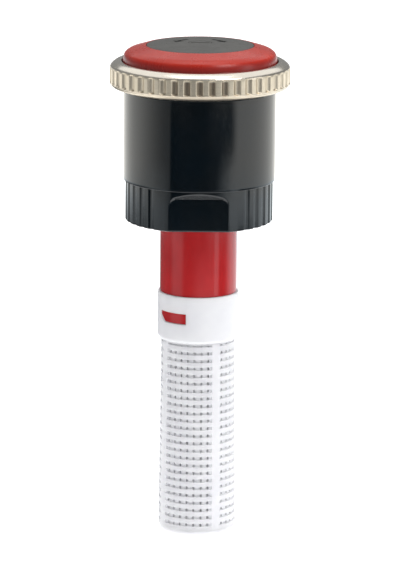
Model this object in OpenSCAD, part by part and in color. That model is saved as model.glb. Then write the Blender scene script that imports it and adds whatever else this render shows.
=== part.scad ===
// Rotary-stream nozzle head for a pop-up lawn sprinkler.
// The origin is the centre of the housing's bottom rim, which is the mouth of the riser socket.
// +Z runs up the axis and -Y faces one of the two wrench flats. Lengths are in millimetres.
// The head is drawn at rest: turret down, ring at its smallest arc, flow fully open, filter on.

/* [Housing] */
// Outer diameter just under the ring
body_d = 22.2; // [21.9:0.1:22.5]
// Height from the bottom rim to the top rim
body_h = 19.4; // [19.3:0.1:19.5]
// Diameter over the grip zone at the foot
grip_d = 21.6; // [21.4:0.1:21.8]
// Height of the grip zone
grip_h = 6; // [5.8:0.1:6.4]
// Depth of each wrench flat at its middle
flat_depth = 0.88; // [0.6:0.02:1]
// Height of a wrench flat below its sloped ceiling
flat_h = 4.8; // [4.4:0.1:5]
// Finger grooves between two flats
grooves_per_side = 11; // [7:1:11]

/* [Riser socket] */
// Minor diameter of the internal thread
thread_minor_d = 15; // [14.9:0.05:15.1]
// Major diameter of the internal thread
thread_major_d = 15.88; // [15.8:0.02:15.96]
// Thread pitch, 28 turns to the inch
thread_pitch = 0.907; // [0.9:0.001:0.92]
// Depth of the socket from its mouth to the web
socket_depth = 9; // [8.9:0.1:9.1]

/* [Inlet stem] */
// Outer diameter of the stem
stem_d = 11.3; // [11.2:0.1:11.4]
// Length of stem that shows below the housing
stem_drop = 10.6; // [10:0.1:12]
// Diameter of the water way
stem_bore_d = 9.1; // [9:0.1:9.2]
// Length of the spigot that the filter fits over
spigot_h = 6.8; // [6.6:0.1:7]

/* [Filter] */
// Outer diameter of the collar
collar_d = 11.9; // [11.8:0.05:12]
// Screen diameter under the collar
screen_top_d = 10.9; // [10.8:0.05:11]
// Screen diameter at the bottom
screen_bottom_d = 11.5; // [11.3:0.05:11.6]
// Rows of screen openings
screen_rows = 25; // [20:1:25]
// Height of one row and one ring of the screen
row_pitch = 1.127; // [1.1:0.001:1.13]
// Openings in a row between two ribs
columns = 7; // [5:1:8]

/* [Arc ring] */
// Outer diameter of the ring
ring_d = 26.3; // [26:0.1:26.6]
// Height of the ring
ring_h = 4; // [3.9:0.1:4.1]
// Flutes round the ring
flutes = 45; // [36:1:48]
// Turn of the ring from its smallest arc to its largest, in degrees
arc_turn = 120; // [60:5:180]

/* [Turret] */
// Diameter of the dome where it meets the ring
dome_d = 22.5; // [22.3:0.1:22.6]
// Diameter of the recess for the top disc
recess_d = 15.7; // [15.5:0.1:15.9]
// Lift of the turret when the water is on
lift = 6.5; // [5:0.1:6.5]
// Stream channels in the distributor
channels = 12; // [8:1:12]

/* [Shaft] */
// Diameter of the shaft
shaft_d = 2.4; // [2.36:0.02:2.44]
// Radial running clearance on the shaft
run_gap = 0.04; // [0.02:0.01:0.06]
// Travel of the throttle nut along the shaft
throttle_travel = 1.6; // [1:0.1:1.6]
// Coils in the return spring
spring_turns = 8; // [6:1:10]
// Wire diameter of the return spring
spring_wire = 0.45; // [0.35:0.05:0.5]

/* [Hidden] */
$fn = 96;

// Small gap that cutters run past a face
over = 1;

// Radii and levels of the housing
body_r = body_d / 2;
grip_r = grip_d / 2;
minor_r = thread_minor_d / 2;
major_r = thread_major_d / 2;
bowl_r = 10.1;
web_top = socket_depth + 2.2;
snap_z = 14.6;
snap_h = 1;
snap_depth = 0.3;
thread_turns = 7;
groove_r = 0.5;
groove_step = 10;
first_groove = 40;

// Radii and levels of the stem
stem_r = stem_d / 2;
stem_bore_r = stem_bore_d / 2;
spigot_r = 5.1;
stem_bottom = -stem_drop - spigot_h;
flange_r = 7.2;
flange_h = 0.8;
gasket_h = 0.6;
seat_r = 3.3;
seat_z = -2.5;
key_r = 3.85;
key_w = 0.8;
key_length = 13;

// Windows in the filter collar, and the stem lugs that snap into them
window_start = -154;
window_angle = 44;
window_z = -14.9;
window_h = 1.6;
lug_r = 5.5;

// Radii and levels of the filter
collar_r = collar_d / 2;
collar_bottom = -stem_drop - 6.9;
collar_bore_r = spigot_r + 0.03;
screen_r_in = 4.75;
ring_floor_r = 5.05;
slot_reach_r = 5.2;
row_gap = 0.55;
first_row = -18;
screen_bottom = -45.9;
filter_bottom = -47.1;
floor_h = 0.9;
slot_w = 0.5;
rib_angle = 13.6;
rib_count = 4;
first_rib = -61;
column_step = (360 / rib_count - rib_angle) / columns;

// Radii and levels of the ring and its nozzle insert
ring_r = ring_d / 2;
ring_bottom = body_h + 0.1;
ring_top = ring_bottom + ring_h;
ring_bore_r = 11.4;
collar_seat_r = 11.95;
deck_bottom = ring_top - 1.2;
flute_r = 0.6;
flute_depth = 0.25;
flute_z = ring_bottom + 0.9;
flute_h = 1.9;
key_angles = [90, 210, 330];
insert_r = bowl_r - 0.05;
insert_in_r = 9.3;
insert_floor = web_top + 0.1;
insert_floor_h = 1.7;
orifice_r = 4.95;
lip_w = 0.55;
lip_steps = 11;
lip_step_angle = 30;
washer_h = 0.2;
seal_track_r = 7.5;
seal_r = 0.4;
stop_angle = 8;
stop_r = 8.6;
stop_w = 0.8;
stop_h = 1;

// Radii and levels of the turret
dome_r = dome_d / 2;
recess_r = recess_d / 2;
dome_bottom = 22.4;
dome_seat = 23;
disc_bottom = 24.6;
disc_top = 26.1;
hub_r = 3.4;
hub_bottom = 15.2;
flare_r = 9;
flare_top = 21.4;
flare_steps = 7;
rim_r = 9.2;
channel_r = 0.65;
channel_path_r = 6;
channel_offset = 1;
chamber_r = 4.2;
chamber_z = 19.6;
chamber_top = 22.4;
cover_r = 5;
boss_r = 2.6;
boss_top = 24.4;
bush_r = 2.6;
seal_pocket_r = 2.3;
mark_r = 4.7;
mark_depth = 0.3;

// Radii and levels of the shaft group
shaft_r = shaft_d / 2;
shaft_bore_r = shaft_r + run_gap;
shaft_top = 25.2;
shaft_bottom = -14.4;
clip_z = -8.4;
clip_h = 0.6;
clip_groove_r = 0.95;
stator_r = 3.95;
stator_gap = 0.3;
head_r = 1.65;
spring_top = 7.5;
spring_bottom = -7.2;
spring_r = 2;
nut_top = -11;
nut_r = 4.1;

// One solid of revolution from points of radius and height.
module revolve(points) {
    rotate_extrude() polygon(points);
}

// A ring with a rectangular section, from radius r1 to r2 and from height z1 to z2.
module ring(r1, r2, z1, z2) {
    revolve([[r1, z1], [r2, z1], [r2, z2], [r1, z2]]);
}

// Part of such a ring, from the angle start and over the given sweep.
module sector(r1, r2, z1, z2, start, sweep) {
    rotate([0, 0, start])
        rotate_extrude(angle = sweep)
            translate([r1, z1]) square([r2 - r1, z2 - z1]);
}

// The V grooves of the internal thread, as points from the top of the thread down.
function thread_points() = [
    for (i = [thread_turns - 1:-1:0])
        for (p = [[0.95, minor_r], [0.5, major_r], [0.05, minor_r]])
            [p[1], 0.7 + (i + p[0]) * thread_pitch]
];

module wrench_flat() {
    flat_y = -(grip_r - flat_depth);
    rotate([90, 0, 90])
        linear_extrude(grip_d, center = true)
            polygon([
                [flat_y, -over], [flat_y, flat_h], [flat_y - 1.5, flat_h + 1.5],
                [flat_y - 4, flat_h + 1.5], [flat_y - 4, -over],
            ]);
}

module finger_grooves() {
    for (side = [-1, 1], k = [0:grooves_per_side - 1])
        rotate([0, 0, side * (first_groove + k * groove_step)])
            translate([0, -grip_r - 0.1, -over])
                cylinder(r = groove_r, h = grip_h + over);
}

// Outer body: threaded skirt below, web in the middle, bowl for the nozzle insert above.
module housing() {
    relief_z = socket_depth - 1.5;
    color("#23272b")
        union() {
            difference() {
                revolve(concat(
                    [
                        [major_r + 0.2, 0], [grip_r - 0.2, 0], [grip_r, 0.2], [grip_r, grip_h],
                        [body_r - 0.05, grip_h + 0.3], [body_r, body_h - 0.2],
                        [body_r - 0.2, body_h], [bowl_r, body_h],
                        [bowl_r, snap_z + snap_h], [bowl_r + snap_depth, snap_z + snap_h],
                        [bowl_r + snap_depth, snap_z], [bowl_r, snap_z], [bowl_r, web_top],
                        [stem_r, web_top], [stem_r, socket_depth],
                        [major_r, socket_depth], [major_r, relief_z],
                    ],
                    thread_points(),
                    [[minor_r, 0.6]]
                ));
                for (turn = [0, 180]) rotate([0, 0, turn]) wrench_flat();
                finger_grooves();
            }
            // Stop that the nozzle insert turns against
            sector(stop_r, stop_r + stop_w, web_top - 0.2, web_top + stop_h, 0, stop_angle);
        }
}

// Water inlet: a tube with a flange under the web, a throttle seat, keys and a spigot with lugs.
module inlet_stem() {
    color("#b3252b")
        union() {
            revolve([
                [stem_bore_r, stem_bottom], [spigot_r - 0.2, stem_bottom],
                [spigot_r, stem_bottom + 0.2], [spigot_r, -stem_drop], [stem_r, -stem_drop],
                [stem_r, socket_depth - flange_h], [flange_r, socket_depth - flange_h],
                [flange_r, socket_depth], [stem_r, socket_depth], [stem_r, web_top],
                [stem_bore_r, web_top], [stem_bore_r, seat_z + 2], [seat_r, seat_z + 0.8],
                [seat_r, seat_z], [stem_bore_r, seat_z],
            ]);
            for (turn = [0, 120, 240])
                rotate([0, 0, turn])
                    translate([key_r, -key_w / 2, seat_z - key_length])
                        cube([stem_bore_r - key_r + 0.2, key_w, key_length + 0.2]);
            for (turn = [0, 180])
                sector(spigot_r - 0.3, lug_r, window_z + 0.1, window_z + window_h - 0.1,
                    window_start + 2 + turn, window_angle - 4);
        }
}

// Flat washer that the end of the riser presses against.
module riser_gasket() {
    color("#1b1b1b")
        ring(stem_r, flange_r + 0.1, socket_depth - flange_h - gasket_h, socket_depth - flange_h);
}

// Fixed centre of the nozzle: a hub on three arms, with a flared skirt inside the orifice.
module stream_deflector() {
    arm_h = 2;
    hub = 2.5;
    skirt_r = orifice_r - 0.3;
    color("#3a3f44")
        difference() {
            union() {
                revolve([
                    [0, spring_top], [hub, spring_top], [hub, 11.2], [skirt_r, 13.2],
                    [skirt_r, 13.7], [hub, 14.2], [2, 14.9], [0, 14.9],
                ]);
                ring(stem_bore_r - 0.6, stem_bore_r, spring_top, spring_top + arm_h);
                for (turn = [60, 180, 300])
                    rotate([0, 0, turn])
                        translate([hub - 0.3, -0.4, spring_top])
                            cube([stem_bore_r - hub - 0.1, 0.8, arm_h]);
            }
            translate([0, 0, spring_top - over])
                cylinder(r = shaft_bore_r, h = 10);
        }
}

// Points of one ring of the spring's wire, at the share t of its length.
function wire_ring(t, sides) = let (
    a = 360 * spring_turns * t,
    w = spring_wire / 2,
    z = spring_bottom + w + (spring_top - spring_bottom - 2 * w) * t
) [
    for (i = [0:sides - 1])
        let (b = 360 * i / sides, r = spring_r + w * cos(b))
            [r * cos(a), r * sin(a), z + w * sin(b)]
];

// Compression spring that pulls the turret down when the water is off.
module return_spring() {
    steps = spring_turns * 16;
    sides = 8;
    points = [for (k = [0:steps]) each wire_ring(k / steps, sides)];
    walls = [
        for (k = [0:steps - 1], i = [0:sides - 1])
            [
                k * sides + i, (k + 1) * sides + i,
                (k + 1) * sides + (i + 1) % sides, k * sides + (i + 1) % sides,
            ]
    ];
    ends = [
        [for (i = [0:sides - 1]) i],
        [for (i = [sides - 1:-1:0]) steps * sides + i],
    ];
    color("#b9bcc0") polyhedron(points, concat(walls, ends));
}

// Cup that carries the lower end of the spring.
module spring_seat() {
    color("#d8d2c4")
        revolve([
            [shaft_bore_r, clip_z + clip_h], [2.8, clip_z + clip_h], [2.8, spring_bottom + 0.8],
            [2.45, spring_bottom + 0.8], [2.45, spring_bottom], [shaft_bore_r, spring_bottom],
        ]);
}

// Steel shaft that carries the turret and ends in the throttle thread.
module shaft() {
    color("#c4c7ca")
        revolve([
            [0, shaft_bottom], [shaft_r - 0.3, shaft_bottom], [shaft_r, shaft_bottom + 0.3],
            [shaft_r, clip_z], [clip_groove_r, clip_z], [clip_groove_r, clip_z + clip_h],
            [shaft_r, clip_z + clip_h], [shaft_r, shaft_top - 0.2], [shaft_r - 0.2, shaft_top],
            [0, shaft_top],
        ]);
}

// Open retaining ring in the shaft's groove.
module shaft_clip() {
    color("#8d9196")
        sector(clip_groove_r, 2.3, clip_z, clip_z + clip_h - 0.02, 35, 290);
}

// Drum on the shaft that the thick fluid drags against.
module brake_stator() {
    z1 = chamber_z + stator_gap;
    z2 = chamber_top - stator_gap;
    color("#e4e0d6")
        revolve([
            [shaft_r, z1], [stator_r - 0.3, z1], [stator_r, z1 + 0.3], [stator_r, z2 - 0.3],
            [stator_r - 0.3, z2], [shaft_r, z2],
        ]);
}

// Slotted head on top of the shaft, for the adjusting tool.
module adjuster_head() {
    color("#6a6b66")
        difference() {
            revolve([
                [0, shaft_top], [shaft_r - 0.2, shaft_top], [shaft_r, shaft_top - 0.2],
                [shaft_r, disc_bottom + 0.1], [head_r, disc_bottom + 0.1],
                [head_r, disc_top - 0.15], [head_r - 0.1, disc_top - 0.05], [0, disc_top - 0.05],
            ]);
            translate([-over - 1, -0.3, disc_top - 0.65])
                cube([2 * over + 2, 0.6, 1]);
        }
}

// Nut on the shaft's thread, kept from turning by the keys in the stem.
module throttle_nut() {
    color("#3a3f44")
        difference() {
            revolve([
                [shaft_r + 0.03, nut_top - 2.4], [2.2, nut_top - 2.4], [2.2, nut_top - 1.2],
                [nut_r - 0.3, nut_top - 1.2], [nut_r, nut_top - 0.9], [nut_r, nut_top - 0.4],
                [nut_r - 0.4, nut_top], [shaft_r + 0.03, nut_top],
            ]);
            for (turn = [0, 120, 240])
                rotate([0, 0, turn])
                    translate([key_r - 0.2, -key_w / 2 - 0.2, nut_top - 3])
                        cube([2, key_w + 0.4, 4]);
        }
}

// Outline of the distributor's flared underside, from its rim down to its hub.
function flare_points() = [
    for (i = [flare_steps:-1:0])
        let (a = 90 * i / flare_steps)
            [hub_r + (flare_r - hub_r) * (1 - cos(a)), hub_bottom + (flare_top - hub_bottom) * sin(a)]
];

module stream_channel() {
    translate([flare_r + 0.3, 0, hub_bottom + 0.1])
        rotate([90, 0, 0])
            rotate([0, 0, 74])
                rotate_extrude(angle = 112)
                    translate([channel_path_r, 0]) circle(r = channel_r, $fn = 32);
}

// Spinning plate whose curved channels turn the water into streams, and the brake's chamber.
module distributor() {
    color("#2c3034")
        difference() {
            revolve(concat(
                [[cover_r, dome_seat], [rim_r, dome_seat], [rim_r, flare_top + 0.5]],
                flare_points(),
                [
                    [seal_pocket_r, hub_bottom], [seal_pocket_r, hub_bottom + 1.4],
                    [1.5, hub_bottom + 1.4], [1.5, hub_bottom + 1.8],
                    [bush_r, hub_bottom + 1.8], [bush_r, chamber_z], [chamber_r, chamber_z],
                    [chamber_r, chamber_top], [cover_r, chamber_top],
                ]
            ));
            for (k = [0:channels - 1])
                rotate([0, 0, 360 * k / channels])
                    translate([0, channel_offset, 0]) stream_channel();
        }
}

module seal_retainer() {
    color("#c4c7ca") ring(1.5, seal_pocket_r, hub_bottom, hub_bottom + 0.3);
}

// Rubber ring with two lips that hold the fluid in and the water out.
module lip_seal() {
    z1 = hub_bottom + 0.3;
    z2 = hub_bottom + 1.4;
    color("#1b1b1b")
        revolve([
            [seal_pocket_r, z1], [seal_pocket_r, z2], [1.7, z2], [shaft_bore_r, z2 - 0.2],
            [1.6, z2 - 0.45], [1.6, z1 + 0.45], [shaft_bore_r, z1 + 0.2], [1.7, z1],
        ]);
}

module lower_bush() {
    color("#d8d2c4") ring(shaft_bore_r, bush_r, hub_bottom + 1.8, chamber_z - 0.2);
}

// Two thin washers that carry the end load of the stator.
module thrust_washers() {
    color("#e9e6dd") {
        ring(shaft_bore_r, 2.4, chamber_z - 0.2, chamber_z + stator_gap - 0.02);
        ring(shaft_bore_r, 2.4, chamber_top - stator_gap + 0.02, chamber_top);
    }
}

// Lid of the brake's chamber, with a boss for the upper bush.
module brake_cover() {
    color("#3a3f44")
        revolve([
            [1.9, chamber_top], [cover_r, chamber_top], [cover_r, dome_seat], [boss_r, dome_seat],
            [boss_r, boss_top - 0.2], [boss_r - 0.2, boss_top], [1.9, boss_top],
        ]);
}

module upper_bush() {
    color("#d8d2c4") ring(shaft_bore_r, 1.9, chamber_top, boss_top - 0.2);
}

// Coloured dome of the turret, with a recess for the top disc.
module turret_dome() {
    color("#c8302a")
        revolve([
            [boss_r + 0.1, dome_seat], [rim_r + 0.05, dome_seat], [rim_r + 0.05, dome_bottom],
            [dome_r - 0.15, dome_bottom], [dome_r, dome_bottom + 0.15], [dome_r, 23.5],
            [10.98, 24.4], [10.92, 24.62], [10.76, 24.85], [10.52, 25.04], [10.25, 25.16],
            [recess_r + 0.15, 25.74], [recess_r, 25.7], [recess_r, disc_bottom],
            [boss_r + 0.1, disc_bottom],
        ]);
}

// A sunk arrow head on the circle of the marks, at the angle a, pointing round the disc.
module arrow_mark(a, way) {
    rotate([0, 0, a])
        translate([mark_r, 0, disc_top - 0.12 - mark_depth])
            linear_extrude(over)
                polygon([[-0.8, 0], [0.8, 0], [0, way * 1.5]]);
}

// Flat insert in the dome with two sunk arrows round the adjuster.
module top_disc() {
    floor_z = disc_top - 0.12 - mark_depth;
    edge_r = recess_r - 0.05;
    color("#6a6b66")
        difference() {
            revolve([
                [head_r + 0.1, disc_bottom], [edge_r, disc_bottom], [edge_r, disc_top - 0.4],
                [edge_r - 0.15, disc_top - 0.33], [6, disc_top - 0.2], [3.6, disc_top - 0.08],
                [head_r + 0.1, disc_top - 0.03],
            ]);
            arrow_mark(122, 1);
            arrow_mark(52, -1);
            sector(mark_r - 0.3, mark_r + 0.3, floor_z + 0.12, floor_z + over, 51, 20);
        }
}

// Metal ring that sets the watered arc.
module arc_ring() {
    color("#cfc6ae")
        union() {
            difference() {
                revolve([
                    [collar_seat_r, ring_bottom], [ring_r - 0.4, ring_bottom],
                    [ring_r - 0.15, ring_bottom + 0.25], [ring_r - 0.12, ring_bottom + 0.6],
                    [ring_r, ring_bottom + 0.75], [ring_r, ring_bottom + 2.95],
                    [ring_r - 0.1, ring_bottom + 3.2], [ring_r - 0.45, ring_bottom + 3.6],
                    [ring_r - 0.95, ring_bottom + 3.9], [ring_r - 1.4, ring_top],
                    [ring_bore_r, ring_top], [ring_bore_r, deck_bottom],
                    [collar_seat_r, deck_bottom],
                ]);
                for (k = [0:flutes - 1])
                    rotate([0, 0, 360 * k / flutes])
                        translate([ring_r + flute_r - flute_depth, 0, flute_z])
                            cylinder(r = flute_r, h = flute_h);
            }
            for (a = key_angles)
                rotate([0, 0, a])
                    translate([ring_bore_r, -0.8, ring_bottom + 0.3])
                        cube([collar_seat_r - ring_bore_r + 0.1, 1.6, deck_bottom - ring_bottom - 0.2]);
        }
}

// Plastic insert that turns with the ring: bowl, orifice and the stepped lip that sets the arc.
module arc_nozzle() {
    floor_top = insert_floor + insert_floor_h;
    collar_z = body_h + washer_h;
    color("#33383d")
        union() {
            difference() {
                revolve([
                    [orifice_r + 0.6, insert_floor], [insert_r, insert_floor],
                    [insert_r, snap_z + 0.2], [insert_r + 0.25, snap_z + 0.2],
                    [insert_r + 0.25, snap_z + 0.5], [insert_r, snap_z + 0.8],
                    [insert_r, collar_z], [collar_seat_r - 0.1, collar_z],
                    [collar_seat_r - 0.1, deck_bottom], [insert_in_r + 0.2, deck_bottom],
                    [insert_in_r, deck_bottom - 0.3], [insert_in_r, floor_top + 0.5],
                    [insert_in_r - 0.5, floor_top], [orifice_r, floor_top],
                    [orifice_r, insert_floor + 1],
                ]);
                // Slot round the housing's stop
                sector(stop_r - 0.2, stop_r + stop_w + 0.2, insert_floor - over,
                    web_top + stop_h + 0.1, -arc_turn - 1, arc_turn + stop_angle + 2);
                // Groove of the face seal
                ring(seal_track_r - 0.45, seal_track_r + 0.45, insert_floor - over, web_top + 0.85);
                // Notches for the ring's keys
                for (a = key_angles)
                    rotate([0, 0, a])
                        translate([ring_bore_r - 0.1, -0.85, collar_z - over])
                            cube([2, 1.7, 5]);
            }
            for (k = [0:lip_steps - 1])
                sector(orifice_r + 0.05, orifice_r + 0.05 + lip_w, floor_top - 0.2,
                    floor_top + 0.1 + 0.6 * k / lip_steps, k * lip_step_angle, lip_step_angle - 1);
        }
}

// Round seal between the insert's floor and the web.
module nozzle_seal() {
    color("#1b1b1b")
        rotate_extrude()
            translate([seal_track_r, web_top + seal_r + 0.01]) circle(r = seal_r, $fn = 32);
}

// Washer whose friction keeps the ring where it is set.
module friction_washer() {
    color("#e9e6dd") ring(bowl_r + 0.05, body_r - 0.25, body_h, body_h + washer_h);
}

// The cut pattern of the screen: rings outside, upright slots inside, open where they cross.
module screen_openings() {
    for (i = [0:screen_rows - 1])
        ring(ring_floor_r, collar_r, first_row - i * row_pitch - row_gap / 2,
            first_row - i * row_pitch + row_gap / 2);
    for (panel = [0:rib_count - 1], k = [0:columns - 1])
        rotate([0, 0, first_rib + panel * 360 / rib_count + rib_angle / 2 + (k + 0.5) * column_step])
            translate([screen_r_in - 0.3, -slot_w / 2, screen_bottom])
                cube([slot_reach_r - screen_r_in + 0.3, slot_w, first_row - screen_bottom + 0.4]);
}

// Moulded filter: collar with windows, ribbed screen and closed floor.
module filter_basket() {
    top_r = screen_top_d / 2;
    bottom_r = screen_bottom_d / 2;
    collar_top = -stem_drop - 0.05;
    color("#eef0f2")
        union() {
            difference() {
                union() {
                    revolve([
                        [collar_bore_r, collar_top], [collar_bore_r, collar_bottom],
                        [screen_r_in, collar_bottom], [screen_r_in, collar_bottom - 0.4],
                        [top_r, collar_bottom - 0.1], [collar_r - 0.04, collar_bottom + 0.5],
                        [collar_r, window_z - 0.4], [collar_r, collar_top - 0.1],
                        [collar_r - 0.1, collar_top],
                    ]);
                    revolve([
                        [screen_r_in, collar_bottom], [screen_r_in, screen_bottom],
                        [bottom_r, screen_bottom], [top_r, collar_bottom],
                    ]);
                }
                for (turn = [0, 180]) {
                    sector(spigot_r - 0.2, collar_r + over, window_z, window_z + window_h,
                        window_start + turn, window_angle);
                    sector(spigot_r - 0.2, lug_r + 0.05, window_z + window_h - 0.1, over - stem_drop,
                        window_start + 1 + turn, window_angle - 2);
                }
                screen_openings();
            }
            for (k = [0:rib_count - 1])
                rotate([0, 0, first_rib - rib_angle / 2 + k * 360 / rib_count])
                    rotate_extrude(angle = rib_angle)
                        polygon([
                            [screen_r_in, collar_bottom - 0.1], [screen_r_in, screen_bottom],
                            [bottom_r + 0.05, screen_bottom + 0.2], [top_r + 0.05, collar_bottom - 0.1],
                        ]);
            revolve([
                [0, filter_bottom], [bottom_r - 0.9, filter_bottom],
                [bottom_r - 0.5, filter_bottom + 0.15], [bottom_r - 0.25, filter_bottom + 0.5],
                [bottom_r - 0.2, screen_bottom], [screen_r_in, screen_bottom],
                [screen_r_in, filter_bottom + floor_h], [0, filter_bottom + floor_h],
            ]);
        }
}

housing();
inlet_stem();
riser_gasket();
stream_deflector();
return_spring();
spring_seat();
shaft();
shaft_clip();
brake_stator();
adjuster_head();
throttle_nut();
distributor();
seal_retainer();
lip_seal();
lower_bush();
thrust_washers();
brake_cover();
upper_bush();
turret_dome();
top_disc();
arc_ring();
arc_nozzle();
nozzle_seal();
friction_washer();
filter_basket();
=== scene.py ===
"""Looks of a rotary-stream sprinkler head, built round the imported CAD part.

Shapes are made in millimetres and scaled to metres when a piece is finished. A turned
outline is a list of (radius, height) or (radius, height, own corner radius).
"""

import math

import bmesh
import bpy
import numpy as np
from mathutils import Matrix, Vector


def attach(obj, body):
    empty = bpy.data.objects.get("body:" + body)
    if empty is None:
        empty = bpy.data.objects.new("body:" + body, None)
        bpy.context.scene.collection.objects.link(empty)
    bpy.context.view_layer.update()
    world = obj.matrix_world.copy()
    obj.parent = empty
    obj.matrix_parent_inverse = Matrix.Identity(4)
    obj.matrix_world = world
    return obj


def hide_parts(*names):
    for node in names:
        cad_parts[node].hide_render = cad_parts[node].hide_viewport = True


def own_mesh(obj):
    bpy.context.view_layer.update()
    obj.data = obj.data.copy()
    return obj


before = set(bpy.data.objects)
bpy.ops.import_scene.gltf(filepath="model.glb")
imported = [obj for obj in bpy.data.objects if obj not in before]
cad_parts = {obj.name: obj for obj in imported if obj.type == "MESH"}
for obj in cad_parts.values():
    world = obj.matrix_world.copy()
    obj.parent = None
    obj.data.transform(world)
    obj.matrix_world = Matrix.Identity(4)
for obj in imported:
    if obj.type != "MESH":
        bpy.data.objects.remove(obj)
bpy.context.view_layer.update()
scene = bpy.context.scene

MM = 0.001
# The angle of the part's front, and a radius outside everything, for points with no cut
FRONT = -90.0
NO_CUT = 99.0

# Levels and radii, as in the CAD part
BODY_R = 11.1
GRIP_R = 10.8
GRIP_TOP = 6.0
BODY_TOP = 19.4
BOWL_R = 10.1
RING_R = 13.15
RING_LOW = 19.5
RING_TOP = 23.5
FLUTES = 45
DOME_R = 11.25
DISC_R = 7.8
DISC_LOW = 24.6
DISC_TOP = 26.07
HEAD_R = 1.67
STEM_R = 5.65
STEM_BORE = 4.55
SPIGOT_R = 5.1
STEM_BOTTOM = -17.4
SHOULDER = -10.6
THREAD_PITCH = 0.907
THREAD_MINOR = 7.5
THREAD_MAJOR = 7.94
SHAFT_R = 1.2
SHAFT_PITCH = 0.64
COLLAR_R = 5.95
COLLAR_BORE = 5.13
COLLAR_TOP = -10.65
SCREEN_TOP = -17.5
FILTER_BOTTOM = -47.1

# Angle at which the first window in the filter's collar starts
WINDOW_START = -157.0


# ---------------------------------------------------------------- mesh tools


def bend(corner, before, after, radius, steps):
    """Points that round one corner of a path."""
    b = np.array(corner[:2], float)
    u = np.array(before[:2], float) - b
    v = np.array(after[:2], float) - b
    reach = min(radius, 0.45 * np.linalg.norm(u), 0.45 * np.linalg.norm(v))
    start = b + u / np.linalg.norm(u) * reach
    end = b + v / np.linalg.norm(v) * reach
    t = np.linspace(0, 1, steps + 1)[:, None]
    curve = (1 - t) ** 2 * start + 2 * t * (1 - t) * b + t**2 * end
    # The points beside the curve keep the shading of long straight faces true
    beside = [b + (start - b) * 1.08, b + (end - b) * 1.08]
    return [tuple(p) for p in (beside[0], *curve, beside[1])]


def soften(path, radius, steps=3, closed=True):
    """The path with its corners rounded. A third number in a point is its own radius."""
    out = []
    count = len(path)
    for i, point in enumerate(path):
        own = point[2] if len(point) > 2 else radius
        at_end = not closed and i in (0, count - 1)
        if own <= 0 or at_end:
            out.append(tuple(point[:2]))
        else:
            out += bend(point, path[i - 1], path[(i + 1) % count], own, steps)
    return out


def lathe(path, columns=128, closed=True, warp=None, start=0.0, sweep=360.0):
    """A shell turned from an outline. warp(r, z, angle) may move its points."""
    path = np.array(path, float)
    full = abs(sweep - 360) < 1e-6
    cols = columns if full else columns + 1
    angle = np.radians(start + sweep * np.arange(cols) / columns)[None, :]
    r = np.repeat(path[:, :1], cols, 1)
    z = np.repeat(path[:, 1:2], cols, 1)
    if warp:
        r, z = warp(r, z, angle)
    verts = np.stack([r * np.cos(angle), r * np.sin(angle), z], -1).reshape(-1, 3)
    ids = np.arange(len(path) * cols).reshape(len(path), cols)
    on_axis = path[:, 0] < 1e-6
    ids[on_axis] = ids[on_axis][:, :1]
    faces = []
    rows = len(path) if closed else len(path) - 1
    for i in range(rows):
        low, high = ids[i], ids[(i + 1) % len(path)]
        for j in range(cols if full else cols - 1):
            k = (j + 1) % cols
            quad = dict.fromkeys([int(low[j]), int(low[k]), int(high[k]), int(high[j])])
            if len(quad) > 2:
                faces.append(list(quad))
    if not full:
        faces.append([int(n) for n in ids[:, 0]])
        faces.append([int(n) for n in ids[::-1, -1]])
    return verts, faces


def box_shell(low, high, turn=0.0):
    """A plain box between two corners, turned about the axis."""
    (x1, y1, z1), (x2, y2, z2) = low, high
    corners = [(x, y, z) for z in (z1, z2) for y in (y1, y2) for x in (x1, x2)]
    c, s = math.cos(math.radians(turn)), math.sin(math.radians(turn))
    verts = np.array([(c * x - s * y, s * x + c * y, z) for x, y, z in corners])
    faces = [[0, 2, 3, 1], [4, 5, 7, 6], [0, 1, 5, 4], [2, 6, 7, 3], [0, 4, 6, 2], [1, 3, 7, 5]]
    return verts, faces


def prism(outline, z1, z2):
    """An upright prism over an outline of (x, y)."""
    n = len(outline)
    verts = np.array([(x, y, z) for z in (z1, z2) for x, y in outline])
    faces = [list(range(n))[::-1], list(range(n, 2 * n))]
    faces += [[i, (i + 1) % n, n + (i + 1) % n, n + i] for i in range(n)]
    return verts, faces


def loft(rings):
    """A closed shell through rings of points, with a cap at each end."""
    sides, last = len(rings[0]), len(rings) - 1
    faces = []
    for i in range(last):
        for n in range(sides):
            m = (n + 1) % sides
            faces.append([i * sides + n, i * sides + m, (i + 1) * sides + m, (i + 1) * sides + n])
    faces += [list(range(sides)), [last * sides + n for n in reversed(range(sides))]]
    return np.array([point for ring in rings for point in ring]), faces


def make_mesh(name, *shells):
    """One mesh from closed shells of vertices and faces."""
    verts, faces = [], []
    for v, f in shells:
        base = len(verts)
        verts += [tuple(p) for p in v]
        faces += [[n + base for n in face] for face in f]
    mesh = bpy.data.meshes.new(name)
    mesh.from_pydata(verts, [], faces)
    bm = bmesh.new()
    bm.from_mesh(mesh)
    loose = [v for v in bm.verts if not v.link_faces]
    bmesh.ops.delete(bm, geom=loose, context="VERTS")
    bmesh.ops.recalc_face_normals(bm, faces=bm.faces)
    bm.to_mesh(mesh)
    bm.free()
    return mesh


def carve(mesh, *shells, operation="DIFFERENCE"):
    """The mesh after a boolean with each shell in turn."""
    for shell in shells:
        target = bpy.data.objects.new("carve_target", mesh)
        tool = bpy.data.objects.new("carve_tool", make_mesh("carve_tool", shell))
        scene.collection.objects.link(target)
        scene.collection.objects.link(tool)
        step = target.modifiers.new("carve", "BOOLEAN")
        step.operation = operation
        step.solver = "EXACT"
        step.object = tool
        graph = bpy.context.evaluated_depsgraph_get()
        mesh = bpy.data.meshes.new_from_object(target.evaluated_get(graph))
        bpy.data.objects.remove(target)
        bpy.data.objects.remove(tool)
    return mesh


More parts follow.
